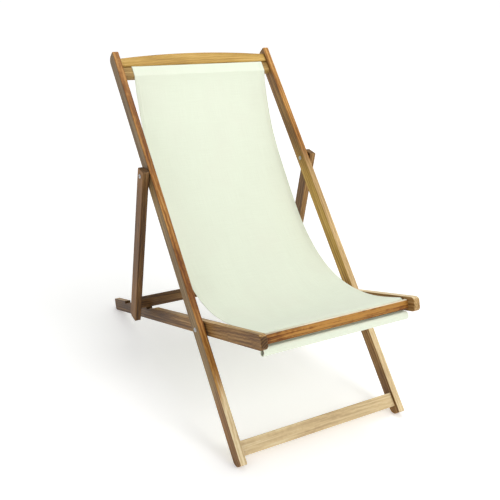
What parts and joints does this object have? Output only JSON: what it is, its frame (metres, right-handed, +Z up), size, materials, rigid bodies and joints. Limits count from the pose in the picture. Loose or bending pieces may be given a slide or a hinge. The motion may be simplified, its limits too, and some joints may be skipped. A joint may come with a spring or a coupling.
{
  "type": "folding deck chair",
  "caption": "Folding wooden deck chair: hinged frames with a length of canvas slung between a slotted top rail and a slotted front rail.",
  "frame": {"origin": "on the floor, under the middle of the opened chair's box", "axes": "+X to the sitter's left, -Y where the sitter faces, +Z up"},
  "size_m": [0.602, 0.9736, 0.9105],
  "materials": {
    "long_rail_wood": "oiled",
    "seat_rail_wood": "oiled",
    "prop_leg_wood": "oiled",
    "crest_wood": "oiled",
    "cross_rail_wood": "oiled",
    "dowel_wood": "plain",
    "canvas": "plain woven",
    "zinc_steel": "zinc plated"
  },
  "bodies": {
    "long_frame": {"long_rail_left": "long_rail_wood", "seat_pivot_sleeve_left": "zinc_steel", "seat_pivot_screw_left": "zinc_steel", "seat_pivot_washer_left": "zinc_steel", "prop_pivot_sleeve_left": "zinc_steel", "prop_pivot_screw_left": "zinc_steel", "prop_pivot_washer_left": "zinc_steel", "long_rail_right": "long_rail_wood", "seat_pivot_sleeve_right": "zinc_steel", "seat_pivot_screw_right": "zinc_steel", "seat_pivot_washer_right": "zinc_steel", "prop_pivot_sleeve_right": "zinc_steel", "prop_pivot_screw_right": "zinc_steel", "prop_pivot_washer_right": "zinc_steel", "crest_rail": "crest_wood", "top_bar": "cross_rail_wood", "foot_stretcher": "long_rail_wood", "crest_rail_dowels": "dowel_wood", "top_bar_dowels": "dowel_wood", "foot_stretcher_dowels": "dowel_wood", "top_sleeve_rod": "dowel_wood", "sling_canvas": "canvas"},
    "seat_frame": {"seat_rail_left": "seat_rail_wood", "seat_rail_right": "seat_rail_wood", "front_rail": "cross_rail_wood", "slot_rail": "cross_rail_wood", "front_rail_dowels": "dowel_wood", "slot_rail_dowels": "dowel_wood", "front_sleeve_rod": "dowel_wood"},
    "prop_frame": {"prop_leg_left": "prop_leg_wood", "prop_leg_right": "prop_leg_wood", "prop_crossbar": "prop_leg_wood", "prop_crossbar_dowels": "dowel_wood"}
  },
  "joints": [
    {"name": "seat_fold", "type": "hinge", "parent": "long_frame", "child": "seat_frame", "pos_m": [0, -0.19325, 0.27252], "axis": [1, 0, 0], "range_deg": [0, 66], "deforming": ["sling_canvas"]},
    {"name": "prop_swing", "type": "hinge", "parent": "long_frame", "child": "prop_frame", "pos_m": [0, 0.13933, 0.60744], "axis": [1, 0, 0], "range_deg": [0, 132]}
  ],
  "couplings": [
    {"joint": "prop_swing", "follows": "seat_fold", "ratio": 2}
  ]
}
